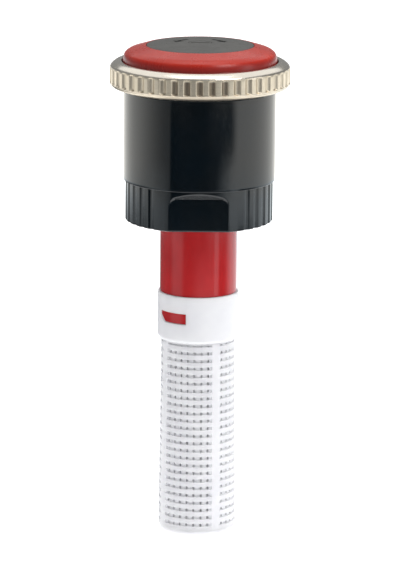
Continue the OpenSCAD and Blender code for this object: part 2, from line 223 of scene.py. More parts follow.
def piece(name, mesh, material, body, replaces=(), sharp=32, bevel=0.0):
    """A finished piece that rides on a body. Edges sharper than sharp, in degrees, stay hard."""
    mesh.name = name
    mesh.transform(Matrix.Scale(MM, 4))
    mesh.materials.clear()
    mesh.materials.append(material)
    mesh.shade_smooth()
    mesh.set_sharp_from_angle(angle=math.radians(sharp))
    obj = bpy.data.objects.new(name, mesh)
    scene.collection.objects.link(obj)
    if bevel:
        edge = obj.modifiers.new("edge", "BEVEL")
        edge.width = bevel * MM
        edge.segments = 2
        edge.limit_method = "ANGLE"
        edge.angle_limit = math.radians(40)
        edge.harden_normals = True
    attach(obj, body)
    if replaces:
        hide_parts(*replaces)
    return obj


# ----------------------------------------------------------------- materials


class Shader:
    """A Principled material with object coordinates in millimetres."""

    def __init__(self, name, **constants):
        self.name = name
        self.material = bpy.data.materials.new(name)
        self.material.use_nodes = True
        self.tree = self.material.node_tree
        self.bsdf = self.tree.nodes["Principled BSDF"]
        for key, value in constants.items():
            self.bsdf.inputs[key.replace("_", " ")].default_value = value
        coords = self.node("ShaderNodeTexCoord")
        self.place = self.vector("MULTIPLY", coords.outputs["Object"], (1 / MM,) * 3)
        self.height = None

    def node(self, kind, **settings):
        made = self.tree.nodes.new(kind)
        for key, value in settings.items():
            setattr(made, key, value)
        return made

    def feed(self, socket, value):
        """Links a socket to another one, or sets its value."""
        if isinstance(value, bpy.types.NodeSocket):
            self.tree.links.new(value, socket)
        else:
            socket.default_value = value

    def vector(self, operation, a, b):
        made = self.node("ShaderNodeVectorMath", operation=operation)
        self.feed(made.inputs[0], a)
        self.feed(made.inputs[1], b)
        return made.outputs["Vector"]

    def math(self, operation, a, b=0.0):
        made = self.node("ShaderNodeMath", operation=operation)
        self.feed(made.inputs[0], a)
        self.feed(made.inputs[1], b)
        return made.outputs[0]

    def times(self, first, *others):
        """The product of two or more values."""
        for other in others:
            first = self.math("MULTIPLY", first, other)
        return first

    def plus(self, first, *others):
        """The sum of two or more values."""
        for other in others:
            first = self.math("ADD", first, other)
        return first

    def noise(self, scale, detail=3.0, stretch=(1, 1, 1), place=None):
        made = self.node("ShaderNodeTexNoise")
        made.inputs["Detail"].default_value = detail
        made.inputs["Scale"].default_value = scale
        self.feed(made.inputs["Vector"], self.vector("MULTIPLY", place or self.place, stretch))
        return made.outputs["Fac"]

    def spread(self, value, low, high, to_low=0.0, to_high=1.0):
        """A smooth step from to_low at low to to_high at high."""
        made = self.node("ShaderNodeMapRange", interpolation_type="SMOOTHSTEP")
        numbers = [value, low, high, to_low, to_high]
        for socket, number in zip(made.inputs, numbers):
            self.feed(socket, number)
        return made.outputs["Result"]

    def blend(self, share, a, b):
        """Colour a, with a share of colour b mixed in."""
        made = self.node("ShaderNodeMix", data_type="RGBA")
        self.feed(made.inputs["Factor"], share)
        for name, value in (("A", a), ("B", b)):
            socket = [s for s in made.inputs if s.name == name and s.type == "RGBA"][0]
            linked = isinstance(value, bpy.types.NodeSocket)
            self.feed(socket, value if linked else (*value, 1.0))
        return [s for s in made.outputs if s.type == "RGBA"][0]

    def axes(self):
        """(x, y, z) of a point."""
        split = self.node("ShaderNodeSeparateXYZ")
        self.feed(split.inputs[0], self.place)
        return split.outputs

    def around(self):
        """(angle about the axis, distance from the axis, height) of a point."""
        x, y, z = self.axes()
        radius = self.math("SQRT", self.plus(self.times(x, x), self.times(y, y)))
        return self.math("ARCTAN2", y, x), radius, z

    def ring_place(self, angle, radius, z):
        """Coordinates for a noise that runs round the axis."""
        join = self.node("ShaderNodeCombineXYZ")
        for socket, value in zip(join.inputs, (angle, radius, z)):
            self.feed(socket, value)
        return join.outputs[0]

    def bump(self, height, depth):
        """Adds a relief of a depth in millimetres to those already there."""
        made = self.node("ShaderNodeBump")
        made.inputs["Distance"].default_value = depth * MM
        made.inputs["Strength"].default_value = 1.0
        self.feed(made.inputs["Height"], height)
        if self.height is not None:
            self.feed(made.inputs["Normal"], self.height)
        self.height = made.outputs["Normal"]
        self.feed(self.bsdf.inputs["Normal"], self.height)

    def colour(self, value):
        self.feed(self.bsdf.inputs["Base Color"], value)

    def rough(self, value):
        self.feed(self.bsdf.inputs["Roughness"], value)


def plastic(name, base, shade, roughness, grain, specular=0.5):
    """Moulded plastic: slow colour drift, flow marks, surface grain and handling scuffs."""
    s = Shader(name)
    s.bsdf.inputs["Specular IOR Level"].default_value = specular
    drift = s.noise(0.22, 2.0)
    flow = s.noise(0.5, 4.0, (1, 1, 0.12))
    s.colour(s.blend(s.spread(drift, 0.3, 0.7), base, shade))
    scuff = s.noise(2.6, 5.0, (1, 1, 0.35))
    patch = s.spread(scuff, 0.56, 0.72)
    mixed = s.plus(s.times(flow, 0.7), s.times(patch, 0.3))
    s.rough(s.spread(mixed, 0.2, 0.7, *roughness))
    s.bump(s.noise(9.0, 3.0), grain)
    s.bump(s.noise(0.9, 2.0), grain * 3)
    return s


def dome_plastic():
    """The turret's red plastic, with painted shade low on its side, just above the ring."""
    s = plastic(
        "dome_plastic", (0.465, 0.0228, 0.008), (0.409, 0.0169, 0.006), (0.26, 0.38), 0.003, 0.36
    )
    _, _, z = s.around()
    unshaded = s.bsdf.inputs["Base Color"].links[0].from_socket
    # Painted shade: the red darkens low on the side, just above the ring.
    painted_shade = s.spread(z, RING_TOP + 0.5, RING_TOP + 1.25, 0.8, 0.0)
    s.colour(s.blend(painted_shade, unshaded, (0.2, 0.007, 0.006)))
    return s


def white_plastic():
    """The filter's white nylon. Light goes some way through its thin bars."""
    s = plastic("white_plastic", (0.8, 0.8, 0.84), (0.75, 0.75, 0.8), (0.32, 0.48), 0.004)
    s.bsdf.inputs["Subsurface Weight"].default_value = 0.85
    s.bsdf.inputs["Subsurface Radius"].default_value = (1.0, 1.0, 1.0)
    s.bsdf.inputs["Subsurface Scale"].default_value = 2.5 * MM
    return s


def matt(name, dark, pale, patches, grain, depth, **constants):
    """A dark matt surface, with patches and a fine relief given as noise scales."""
    s = Shader(name, **constants)
    s.colour(s.blend(s.spread(s.noise(patches), 0.35, 0.65), dark, pale))
    s.bump(s.noise(grain), depth)
    return s


def steel():
    """Turned steel with fine lines round the axis."""
    s = Shader("steel", Metallic=1.0)
    lines = s.noise(1.0, 4.0, (0.6, 20, 26), s.ring_place(*s.around()))
    s.colour(s.blend(lines, (0.5, 0.5, 0.5), (0.66, 0.66, 0.67)))
    s.rough(s.spread(lines, 0.3, 0.7, 0.2, 0.36))
    s.bump(lines, 0.004)
    return s


def ring_metal():
    """Brushed metal, polished on top, with painted shade in the flutes and under the lower lip,
    strongest on the front side, and a painted highlight on the top face.
    """
    s = Shader("ring_metal", Metallic=1.0)
    angle, radius, z = s.around()
    _, y, _ = s.axes()
    brushed = s.noise(1.0, 5.0, (1.6, 16, 22), s.ring_place(angle, radius, z))
    blotch = s.noise(0.5, 3.0)

    # Painted shade: the flute floors and the band under the lower lip are darkened, most on the
    # front side.
    in_band = s.times(s.spread(z, 20.25, 20.45), s.spread(z, 22.2, 22.45, 1.0, 0.0))
    sunk = s.spread(radius, RING_R - 0.25, RING_R - 0.05, 1.0, 0.0)
    outside = s.spread(radius, RING_R - 0.75, RING_R - 0.65)
    front_side = s.spread(y, -12.6, -11.2, 1.0, 0.1)
    lip = s.times(s.spread(z, 19.9, 20.3, 0.6, 0.0), outside, front_side)
    painted_shade = s.plus(s.times(in_band, sunk, outside, front_side, 0.88), lip)
    # Painted highlight: the top face is lighter in colour; its lower roughness is polish.
    top_face = s.spread(z, 22.6, 22.8)

    metal = s.blend(s.spread(blotch, 0.3, 0.7), (0.7, 0.62, 0.49), (0.63, 0.56, 0.45))
    metal = s.blend(s.times(brushed, 0.25), metal, (0.42, 0.37, 0.3))
    metal = s.blend(s.times(top_face, 0.6), metal, (0.78, 0.74, 0.67))
    # The darker colour mixed in here is the painted shade.
    s.colour(s.blend(painted_shade, metal, (0.17, 0.135, 0.1)))
    worn = s.spread(brushed, 0.25, 0.75, 0.26, 0.4)
    s.rough(s.math("SUBTRACT", worn, s.times(top_face, 0.15)))
    s.bump(brushed, 0.006)
    return s


def make_materials():
    """Every material of the part, by name."""
    black = (0.0025, 0.005, 0.0075), (0.0036, 0.0055, 0.0072)
    grey = (0.072, 0.071, 0.066), (0.085, 0.083, 0.077)
    insert = (0.02, 0.021, 0.023), (0.03, 0.03, 0.031)
    red = (0.4, 0.013, 0.015), (0.35, 0.01, 0.012)
    natural = (0.68, 0.62, 0.5), (0.6, 0.55, 0.44)
    # Near-black for the arrow inlays: the marks' dark paint, together with painted shade for their
    # sunk pockets.
    paint_and_shade = (0.008, 0.008, 0.008), (0.016, 0.016, 0.015)
    rubber = (0.012, 0.012, 0.012), (0.024, 0.023, 0.022)
    shaders = [
        plastic("black_plastic", *black, (0.07, 0.13), 0.001),
        plastic("grey_plastic", *grey, (0.5, 0.66), 0.01, 0.35),
        plastic("insert_plastic", *insert, (0.3, 0.45), 0.006),
        dome_plastic(),
        plastic("stem_plastic", *red, (0.09, 0.16), 0.001),
        white_plastic(),
        plastic("bearing_plastic", *natural, (0.35, 0.5), 0.005),
        matt("mark_paint_and_shade", *paint_and_shade, 3.0, 12.0, 0.01, Roughness=0.8, Specular_IOR_Level=0.08),
        matt("rubber", *rubber, 0.8, 14.0, 0.012, Roughness=0.75),
        steel(),
        ring_metal(),
    ]
    return {s.name: s.material for s in shaders}


MATERIAL = make_materials()


# -------------------------------------------------------------------- pieces


def ease(t):
    """A smooth rise from 0 to 1."""
    t = np.clip(t, 0, 1)
    return t * t * (3 - 2 * t)


def soft_min(a, b, width):
    """The smaller of two arrays, with the crease rounded over width."""
    h = np.clip(0.5 + 0.5 * (b - a) / width, 0, 1)
    return b * (1 - h) + a * h - width * h * (1 - h)


def turned_thread(z, angle, pitch, fullness, slope):
    """How far into a thread's tooth each point is, from 0 to 1."""
    phase = (z / pitch - angle / (2 * math.pi)) % 1
    return np.clip(fullness - np.abs(phase - 0.5) * slope, 0, 1)


def wrench_flat(z, angle):
    """Radius of the foot's two flats, with the sloping ceiling over their rounded top."""
    flat_at, half_width, corner, top = GRIP_R - 0.88, 4.26, 0.9, 4.8
    across = np.abs(np.sin(angle)) + 1e-9
    sideways = np.minimum(flat_at * np.abs(np.cos(angle)) / across, half_width)
    over = np.clip(sideways - (half_width - corner), 0, corner)
    ceiling = top - (corner - np.sqrt(corner**2 - over**2))
    return (flat_at + np.maximum(0, z - ceiling)) / across


def finger_groove(angle):
    """Radius of the foot's grooves: eleven on each side, 10 degrees apart."""
    groove_r, groove_at, first, step, last = 0.85, GRIP_R + 0.66, 40, 10, 10
    turn = np.degrees(angle) - FRONT
    turn = np.abs((turn + 180) % 360 - 180)
    nearest = np.clip(np.round((turn - first) / step), 0, last) * step + first
    off = groove_at * np.sin(np.radians(turn - nearest))
    floor = groove_at - np.sqrt(np.maximum(groove_r**2 - off**2, 0))
    return np.where(np.abs(off) < groove_r, floor, NO_CUT)


def housing_outside():
    """Foot with flats and grooves, a sharp ledge, and the smooth body above it."""
    rim, hollow = 0.2, 0.025
    rows = [(8.15, 0.0, 0)]
    for t in np.linspace(0, math.pi / 2, 5):
        rows.append((GRIP_R, rim * (1 - math.cos(t)), rim * (1 - math.sin(t))))
    rows += [(GRIP_R, z, 0) for z in [*np.arange(0.3, 5.95, 0.1), GRIP_TOP - 0.03]]
    rows += [
        (BODY_R - 0.06, GRIP_TOP - 0.01, 0), (BODY_R - 0.03, GRIP_TOP + 0.03, 0),
        (BODY_R - hollow, GRIP_TOP + 0.08, 0),
    ]
    for z in (6.4, 7, 8, 9, 10, 12, 15, 18, 19.18, 19.23):
        rows.append((BODY_R - hollow + hollow * ease((z - GRIP_TOP) / 6), z, 0))
    rows += [
        (BODY_R - 0.03, 19.28, 0), (BODY_R - 0.1, 19.37, 0), (BODY_R - 0.22, BODY_TOP, 0),
        (BOWL_R, BODY_TOP, 0),
    ]
    base = np.array([r for r, _, _ in rows])[:, None]
    inset = np.array([i for _, _, i in rows])[:, None]

    def foot(r, z, angle):
        limit = soft_min(np.broadcast_to(base, r.shape), wrench_flat(z, angle), 0.07)
        limit = soft_min(limit, finger_groove(angle), 0.05) - inset
        return np.where((z < GRIP_TOP - 0.02) & (r > 9), limit, r), z

    return lathe([(r, z) for r, z, _ in rows], 1080, False, foot)


def housing_inside():
    """Bowl for the nozzle insert, bore for the stem, and the threaded riser socket."""
    z_low, z_high = 0.75, 6.95
    path = [
        (BOWL_R, BODY_TOP), (BOWL_R, 15.6), (10.4, 15.6), (10.4, 14.6), (BOWL_R, 14.6),
        (BOWL_R, 11.25), (10.05, 11.2), (STEM_R, 11.2), (STEM_R, 9.0), (THREAD_MAJOR, 9.0),
        (THREAD_MAJOR, 7.5), (THREAD_MINOR, 7.15),
    ]
    path += [(THREAD_MINOR, z) for z in np.arange(z_high, z_low, -THREAD_PITCH / 12)]
    path += [(THREAD_MINOR, 0.65), (8.15, 0.0)]

    def thread(r, z, angle):
        fade = np.clip((z - z_low) / 0.4, 0, 1) * np.clip((z_high - z) / 0.3, 0, 1)
        tooth = turned_thread(z, angle, THREAD_PITCH, 1.15, 2.6)
        cut = (THREAD_MAJOR - THREAD_MINOR) * tooth * fade
        on_thread = (z > z_low - 0.01) & (z < z_high + 0.01) & (np.abs(r - THREAD_MINOR) < 0.01)
        return np.where(on_thread, r + cut, r), z

    return lathe(path, 216, False, thread)


def housing():
    mesh = make_mesh("housing_shell", housing_outside(), housing_inside())
    black = MATERIAL["black_plastic"]
    piece("housing_shell", mesh, black, "base", ["housing"], sharp=38)


def arc_ring():
    """Metal ring with scooped flutes round its wall, closed at both ends."""
    wall_top, wall_low, shoulder = 22.35, 20.3, 0.07
    top = [
        (11.42, RING_TOP, 0.12), (11.76, RING_TOP, 0.1), (12.25, 23.4, 0.3), (12.76, 23.1, 0.4),
        (RING_R - shoulder, 22.75, 0),
    ]
    foot = [
        (RING_R, 20.28), (13.13, 20.24, 0.05), (13.04, 20.17, 0.06), (13.0, 20.0, 0.1),
        (12.8, 19.8, 0.15), (12.4, 19.65, 0.2), (12.0, RING_LOW),
    ]
    rows = soften([(11.95, 22.3), (11.42, 22.3), *top], 0.04, 6, False)
    for t in np.arange(0.9, 0, -0.14):
        drop = shoulder * (1 - math.cos(t * math.pi / 2))
        rows.append((RING_R - drop, wall_top + 0.4 * t))
    rows += [(RING_R, z) for z in np.arange(wall_top - 0.01, wall_low, -0.06)]
    rows += soften(foot, 0.05, 4, False) + [(11.95, RING_LOW)]
    flute_r, flute_at, middle, half = 0.62, RING_R + 0.28, 21.5, 0.95

    def flutes(r, z, angle):
        step = 2 * math.pi / FLUTES
        off = angle - math.radians(FRONT)
        off = off - np.round(off / step) * step
        side = flute_at * np.sin(off)
        end = np.maximum(0, np.abs(z - middle) - half)
        room = flute_r**2 - side**2 - (end * 2.5) ** 2
        floor = flute_at - np.sqrt(np.maximum(room, 0))
        cut = np.where(room > 0, floor, NO_CUT)
        on_wall = (r > RING_R - 0.25) & (z > 20.0) & (z < 23.0)
        return np.where(on_wall, soft_min(r, cut, 0.03), r), z

    mesh = make_mesh("ring_band", lathe(rows, FLUTES * 24, True, flutes))
    metal = MATERIAL["ring_metal"]
    piece("ring_band", mesh, metal, "arc_ring", ["arc_ring"], sharp=50)


def dome():
    """Red shell round the disc: side wall, rounded shoulder, shallow cone, seat for the disc."""
    path = [
        (2.7, 23.0, 0.02), (9.25, 23.0, 0.02), (9.25, 22.4, 0.05), (11.1, 22.4, 0.08),
        (DOME_R, 22.55, 0.05), (DOME_R, 23.5, 0.2), (11.15, 24.12, 0.3), (10.94, 24.62, 0.3),
        (10.35, 25.05, 0.55), (8.06, 25.73, 0.1), (7.87, 25.74, 0.05), (DISC_R + 0.05, 25.6, 0.03),
        (DISC_R + 0.05, DISC_LOW, 0.03), (2.7, DISC_LOW, 0.03),
    ]
    mesh = make_mesh("turret_shell", lathe(soften(path, 0.05, 6), 256))
    red = MATERIAL["dome_plastic"]
    piece("turret_shell", mesh, red, "turret", ["turret_dome"], sharp=40)


def arrow(at, way):
    """Outline of a curved arrow about the axis, with its head at the angle at."""
    mid, half, head, tail_turn, tip_turn = 3.6, 0.3, 0.95, 32, 18

    def spot(radius, angle):
        return radius * math.cos(angle), radius * math.sin(angle)

    tail = [math.radians(at - way * s) for s in np.linspace(0, tail_turn, 9)]
    start, tip = math.radians(at), math.radians(at + way * tip_turn)
    points = [spot(mid + half, a) for a in reversed(tail)]
    points += [spot(mid + head, start), spot(mid, tip), spot(mid - head, start)]
    return points + [spot(mid - half, a) for a in tail]


def top_disc():
    """Slightly crowned disc with two inlaid turning arrows."""
    path = [
        (HEAD_R + 0.05, DISC_LOW, 0.02), (DISC_R, DISC_LOW, 0.05), (DISC_R, 25.74, 0.08),
        (7.2, 25.82, 0.6), (6.0, 25.91, 0.8), (3.6, 26.03, 1.0), (HEAD_R + 0.05, DISC_TOP, 0.05),
    ]
    pocket_floor, inlay_low, inlay_top = 25.8, 25.78, 25.97
    mesh = make_mesh("cap_disc", lathe(soften(path, 0.05, 5), 192))
    marks = [arrow(152, 1), arrow(30, -1)]
    mesh = carve(mesh, *[prism(m, pocket_floor, 27) for m in marks])
    grey = MATERIAL["grey_plastic"]
    piece("cap_disc", mesh, grey, "turret", ["top_disc"], sharp=35)
    # The arrows' near-black inlay is their dark paint and also painted shade in the pockets.
    inlay = make_mesh("cap_marks", *[prism(m, inlay_low, inlay_top) for m in marks])
    piece("cap_marks", inlay, MATERIAL["mark_paint_and_shade"], "turret")


def adjuster():
    """Slotted head on the end of the shaft."""
    path = [
        (0, 25.2), (1.0, 25.2, 0.02), (SHAFT_R, 25.0, 0.02), (SHAFT_R, 24.7, 0.02),
        (HEAD_R, 24.7, 0.03), (HEAD_R, 26.05, 0.06), (0, DISC_TOP),
    ]
    slot = box_shell((-1.35, -0.22, 25.55), (1.35, 0.22, 27))
    mesh = make_mesh("adjuster_plug", lathe(soften(path, 0.03, 4, False), 96, False))
    mesh = carve(mesh, slot)
    grey = MATERIAL["grey_plastic"]
    piece("adjuster_plug", mesh, grey, "shaft", ["adjuster_head"], bevel=0.03)


def snap_block(path, start, sweep):
    """A block swept about the axis, its lower edge cut on a slant at the start."""
    lift, over = 0.9, 11
    middle = sum(point[1] for point in path) / len(path)

    def slant(r, z, angle):
        near = np.clip(1 - (np.degrees(angle) - start) / over, 0, 1)
        return r, np.where(z < middle, z + lift * near, z)

    return lathe(path, 27, warp=slant, start=start, sweep=sweep)


def stem():
    """Red tube with its flange, throttle seat, anti-turn keys and snap lugs."""
    path = [
        (STEM_BORE, STEM_BOTTOM, 0.1), (SPIGOT_R, STEM_BOTTOM, 0.2), (SPIGOT_R, SHOULDER - 0.03, 0),
        (STEM_R, SHOULDER - 0.03, 0), (STEM_R, 8.2, 0.1), (7.2, 8.2, 0.1), (7.2, 9.0, 0.1),
        (STEM_R, 9.0, 0.02), (STEM_R, 11.2, 0.05), (STEM_BORE, 11.2, 0.1), (STEM_BORE, -0.5, 0.3),
        (3.3, -1.7, 0.1), (3.3, -2.5, 0.05), (STEM_BORE, -2.5, 0.03),
    ]
    mesh = make_mesh("stem_tube", lathe(soften(path, 0.05, 4), 160))
    lug = soften([(4.9, -14.7), (5.8, -14.7), (5.8, -13.2), (4.9, -13.2)], 0.05, 2)
    lugs = [snap_block(lug, WINDOW_START + 0.4 + turn, 48.7) for turn in (0, 180)]
    keys = [box_shell((3.85, -0.4, -15.5), (4.8, 0.4, -2.4), turn) for turn in (0, 120, 240)]
    mesh = carve(mesh, *lugs, *keys, operation="UNION")
    red = MATERIAL["stem_plastic"]
    piece("stem_tube", mesh, red, "base", ["inlet_stem"], bevel=0.04)


def screen_bands():
    """(angle, what starts there) round the screen: four ribs, seven slots between each two."""
    rib, first_rib, panels, columns = 13.6, -61, 4, 7
    step = (360 / panels - rib) / columns
    slot = math.degrees(0.24 / 4.9)
    # One back panel is set over, so that no light shines straight through two panels
    set_over_panel, set_over = 1, 2.7
    bands = []
    for panel in range(panels):
        at = first_rib - rib / 2 + panel * 360 / panels
        bands += [(at + rib * i / 5, "rib") for i in range(5)]
        at += rib
        if panel == set_over_panel:
            bands.append((at, "bar"))
            at += set_over
        for _ in range(columns):
            bands += [(at, "bar"), (at + (step - slot) / 2, "slot"), (at + step / 2, "slot")]
            bands += [(at + (step + slot) / 2, "bar")]
            at += step
    return bands


def screen_levels():
    """(height, what starts there) up the screen: rings with gaps between them."""
    rows, pitch, first, gap, first_gap = 25, 1.127, -18.0, 0.46, 0.26
    levels = [(-45.95, "ring")]
    for i in reversed(range(rows)):
        middle = first - i * pitch
        half = (gap if i else first_gap) / 2
        levels += [(middle - half, "gap"), (middle + half, "ring")]
    return levels + [(SCREEN_TOP, "end")]


# Each side of a cell: the step to its neighbour and its corners, as (layer, row, column)
CELL_SIDES = [
    ((-1, 0, 0), ((0, 0, 0), (0, 1, 0), (0, 1, 1), (0, 0, 1))),
    ((1, 0, 0), ((1, 0, 0), (1, 0, 1), (1, 1, 1), (1, 1, 0))),
    ((0, -1, 0), ((0, 0, 0), (0, 0, 1), (1, 0, 1), (1, 0, 0))),
    ((0, 1, 0), ((0, 1, 0), (1, 1, 0), (1, 1, 1), (0, 1, 1))),
    ((0, 0, -1), ((0, 0, 0), (1, 0, 0), (1, 1, 0), (0, 1, 0))),
    ((0, 0, 1), ((0, 0, 1), (0, 1, 1), (1, 1, 1), (1, 0, 1))),
]


def screen():
    """The screen as one closed mesh, from three layers of cells: bars inside, rings outside."""
    bands, levels = screen_bands(), screen_levels()
    cols, rows = len(bands), len(levels) - 1
    solid = np.zeros((5, rows + 2, cols), bool)
    for j, (_, band) in enumerate(bands):
        for i in range(rows):
            inner = band != "slot" or i in (0, rows - 1)
            outer = levels[i][1] == "ring" or band == "rib"
            solid[1:4, i + 1, j] = inner, outer or inner, outer

    def point(k, i, j):
        """The corner at layer k, level i and band j."""
        angle, z = math.radians(bands[j][0]), levels[i][0]
        taper = 5.45 + (z - SCREEN_TOP) / (-45.9 - SCREEN_TOP) * 0.3
        on_rib = "rib" in (bands[j][1], bands[j - 1][1])
        r = [4.75, 5.05, taper - 0.2, taper + (0.05 if on_rib else 0)][k]
        return r * math.cos(angle), r * math.sin(angle), z

    verts, index, faces = [], {}, []
    for k, i, j in zip(*np.nonzero(solid)):
        for (up, over, along), corners in CELL_SIDES:
            if solid[k + up, i + over, (j + along) % cols]:
                continue
            face = []
            for a, b, c in corners:
                key = (int(k - 1 + a), int(i - 1 + b), int((j + c) % cols))
                if key not in index:
                    index[key] = len(verts)
                    verts.append(point(*key))
                face.append(index[key])
            faces.append(face)
    return make_mesh("filter_screen", (np.array(verts), faces))


def filter_pieces():
    """White collar with two windows, the screen, and its closed end."""
    collar = [
        (COLLAR_BORE, COLLAR_TOP, 0), (COLLAR_BORE, SCREEN_TOP, 0.02), (4.75, SCREEN_TOP, 0.02),
        (4.75, -17.9, 0.05), (5.46, -17.62, 0.03), (5.8, -17.58, 0.1), (COLLAR_R, -17.25, 0.25),
        (COLLAR_R, -15.3, 0.3), (COLLAR_R, COLLAR_TOP, 0.06),
    ]
    window = [(4.9, -14.76), (6.4, -14.76), (6.4, -13.14), (4.9, -13.14)]
    mesh = make_mesh("filter_collar", lathe(soften(collar, 0.05, 4), 180))
    mesh = carve(mesh, *[snap_block(window, WINDOW_START + turn, 49.5) for turn in (0, 180)])
    white = MATERIAL["white_plastic"]
    piece("filter_collar", mesh, white, "filter", ["filter_basket"], bevel=0.06)
    piece("filter_screen", screen(), white, "filter", bevel=0.045)
    floor = [
        (0, FILTER_BOTTOM), (5.2, FILTER_BOTTOM, 0.35), (5.52, -46.6, 0.4), (5.62, -45.85, 0.05),
        (4.72, -45.85, 0.02), (4.72, -46.2, 0.05), (0, -46.2),
    ]
    mesh = make_mesh("filter_floor", lathe(soften(floor, 0.05, 5, False), 128, False))
    piece("filter_floor", mesh, white, "filter")


def distributor():
    """Spinning plate: a trumpet with curved stream channels under a flat top."""
    hub, reach, low, rise = 3.4, 9.0, 15.2, 6.2
    channels, half, curl = 12, 0.66, 46
    slopes = np.linspace(90, 0, 49)
    flare = []
    for t in np.radians(slopes):
        flare.append((hub + (reach - hub) * (1 - math.cos(t)), low + rise * math.sin(t)))
    top = [(5.0, 23.0), (9.2, 23.0), (9.2, 22.6), (9.2, 21.9)]
    chamber = [
        (2.3, low), (2.3, 16.6), (1.5, 16.6), (1.5, 17.0), (2.6, 17.0), (2.6, 19.6), (4.2, 19.6),
        (4.2, 22.4), (5.0, 22.4),
    ]
    path = top + flare + chamber
    # The slope at each point of the flare, and at the edge just above it
    slope = np.full(len(path), np.nan)
    slope[len(top) - 1] = 90
    slope[len(top) : len(top) + len(flare)] = slopes
    on_flare = ~np.isnan(slope)[:, None]
    slope = np.nan_to_num(np.radians(slope))[:, None]

    def swirl(r, z, angle):
        centre = math.radians(curl) * (slope / (math.pi / 2)) ** 1.6
        step = 2 * math.pi / channels
        off = angle - centre
        off = (off - np.round(off / step) * step) * r
        bite = half * np.sqrt(np.maximum(0, 1 - (off / half) ** 2))
        bite = np.where(on_flare, bite, 0)
        return r - bite * np.cos(slope), z + bite * np.sin(slope)

    mesh = make_mesh("stream_plate", lathe(path, 720, True, swirl))
    dark = MATERIAL["insert_plastic"]
    piece("stream_plate", mesh, dark, "turret", ["distributor"], sharp=45)


def nozzle_insert():
    """Cup that turns with the ring, with the rising lip that sets the arc."""
    path = [
        (5.55, 11.3), (10.05, 11.3), (10.05, 14.8), (10.3, 14.8), (10.3, 15.1), (10.05, 15.4),
        (10.05, 19.6), (11.85, 19.6), (11.85, 22.3), (9.5, 22.3), (9.3, 22.0), (9.3, 13.5),
        (8.8, 13.0), (4.95, 13.0), (4.95, 12.3),
    ]
    mesh = make_mesh("nozzle_insert", lathe(soften(path, 0.05, 3), 192))
    sweep, steps, low, foot, rise = 330.0, 132, 13.1, 12.9, 0.56
    inner, outer, chamfer = 5.0, 5.55, 0.05
    rings = []
    for i in range(steps + 1):
        a = math.radians(sweep * i / steps)
        top = low + rise * i / steps
        outline = [
            (inner, foot), (outer, foot), (outer, top - chamfer), (outer - chamfer, top),
            (inner + chamfer, top), (inner, top - chamfer),
        ]
        rings.append([(r * math.cos(a), r * math.sin(a), z) for r, z in outline])
    mesh = carve(mesh, loft(rings), operation="UNION")
    dark = MATERIAL["insert_plastic"]
    piece("nozzle_insert", mesh, dark, "arc_ring", ["arc_nozzle"])


def shaft():
    """Steel rod with a groove for the clip and the throttle's thread."""
    thread_top, thread_low, depth = -9.25, -14.1, 0.2
    path = [
        (0, 25.2), (1.0, 25.2), (SHAFT_R, 25.0), (SHAFT_R, -7.8), (0.95, -7.8), (0.95, -8.4),
        (SHAFT_R, -8.4), (SHAFT_R, -9.2),
    ]
    path += [(SHAFT_R, z) for z in np.arange(thread_top, thread_low, -SHAFT_PITCH / 10)]
    path += [(SHAFT_R, thread_low - 0.02), (0.9, -14.4), (0, -14.4)]

    def cut(r, z, angle):
        tooth = turned_thread(z, angle, SHAFT_PITCH, 1.2, 2.8)
        fade = np.clip((thread_top - 0.05 - z) / 0.5, 0, 1) * (z > thread_low - 0.01)
        return np.where(r > SHAFT_R - 0.01, r - depth * tooth * fade, r), z

    mesh = make_mesh("shaft_rod", lathe(path, 72, False, cut))
    piece("shaft_rod", mesh, MATERIAL["steel"], "shaft", ["shaft"], sharp=40)


def spring():
    """Coil with closed ends, built at one length; in the sprinkler it is squashed as the turret
    rises.
    """
    wire, mean, turns, low, high = 0.225, 2.0, 8, -7.2, 7.5
    steps, sides, closed = turns * 48, 14, 0.9 / turns
    t = np.linspace(0, 1, steps + 1)
    lift = np.interp(t, [0, closed, 1 - closed, 1], [0, 0.03, 0.97, 1])
    lift = np.convolve(np.pad(lift, 12, "edge"), np.ones(25) / 25, "valid")
    heights = low + wire + (high - low - 2 * wire) * np.clip(lift, 0, 1)
    round_wire = [2 * math.pi * n / sides for n in range(sides)]
    rings = []
    for turn, z in zip(2 * math.pi * turns * t, heights):
        ring = [(mean + wire * math.cos(b), z + wire * math.sin(b)) for b in round_wire]
        rings.append([(r * math.cos(turn), r * math.sin(turn), h) for r, h in ring])
    mesh = make_mesh("spring_coil", loft(rings))
    coil = piece("spring_coil", mesh, MATERIAL["steel"], "base", ["return_spring"])
    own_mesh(coil)


def dress_kept_nodes():
    """Gives each CAD node that stays its material."""
    finish = {
        "riser_gasket": "rubber",
        "stream_deflector": "insert_plastic",
        "spring_seat": "bearing_plastic",
        "shaft_clip": "steel",
        "brake_stator": "bearing_plastic",
        "throttle_nut": "grey_plastic",
        "seal_retainer": "steel",
        "lip_seal": "rubber",
        "lower_bush": "bearing_plastic",
        "thrust_washers": "bearing_plastic",
        "brake_cover": "insert_plastic",
        "upper_bush": "bearing_plastic",
        "nozzle_seal": "rubber",
        "friction_washer": "bearing_plastic",
    }
    for name, material in finish.items():
        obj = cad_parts[name]
        obj.data.materials.clear()
        obj.data.materials.append(MATERIAL[material])


# --------------------------------------------------------------------- stage


def plain_material(name, colour, strength):
    """An even surface that also glows."""
    material = bpy.data.materials.new(name)
    material.use_nodes = True
    bsdf = material.node_tree.nodes["Principled BSDF"]
    bsdf.inputs["Base Color"].default_value = (*colour, 1)
    bsdf.inputs["Roughness"].default_value = 0.9
    bsdf.inputs["Specular IOR Level"].default_value = 0.0
    bsdf.inputs["Emission Color"].default_value = (*colour, 1)
    bsdf.inputs["Emission Strength"].default_value = strength
    return material


